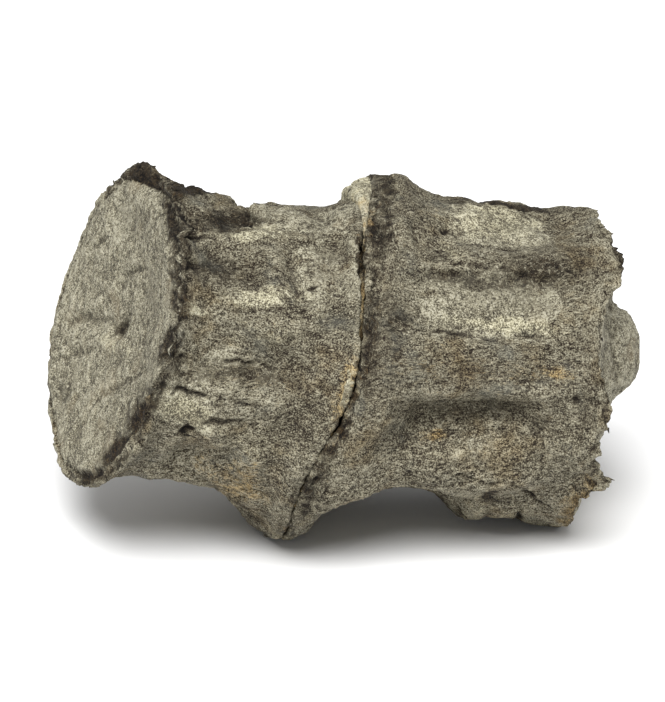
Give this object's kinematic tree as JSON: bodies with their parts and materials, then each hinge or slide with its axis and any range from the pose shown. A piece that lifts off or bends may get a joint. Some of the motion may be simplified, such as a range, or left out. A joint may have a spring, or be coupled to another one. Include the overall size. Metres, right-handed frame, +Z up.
{
  "type": "fossil fish vertebrae, two joined centra",
  "caption": "Pair of joined spool-shaped fish vertebrae turned to stone, with deep pits round their waists and pale mudstone in their cups and pits.",
  "frame": {"origin": "middle of the table under the pair: centre of the bounding box's base", "axes": "+X along the backbone towards the rear vertebra, +Z up, the pictured side faces -Y"},
  "size_m": [0.0958, 0.0586, 0.0611],
  "materials": {
    "bone": "fibrous grey-brown fossil bone, dull, with dark broken edges",
    "stone": "fine-grained pale olive-grey mudstone, dull"
  },
  "bodies": {
    "root": {"front_centrum": "bone", "rear_centrum": "bone", "front_cup_stone": "stone", "joint_stone": "stone", "rear_cup_stone": "stone", "front_upper_pit_stone": "stone", "front_middle_pit_stone": "stone", "front_edge_stone": "stone", "front_far_middle_pit_stone": "stone", "rear_upper_pit_stone": "stone", "rear_middle_pit_stone": "stone", "rear_far_lower_pit_stone": "stone"}
  },
  "joints": []
}
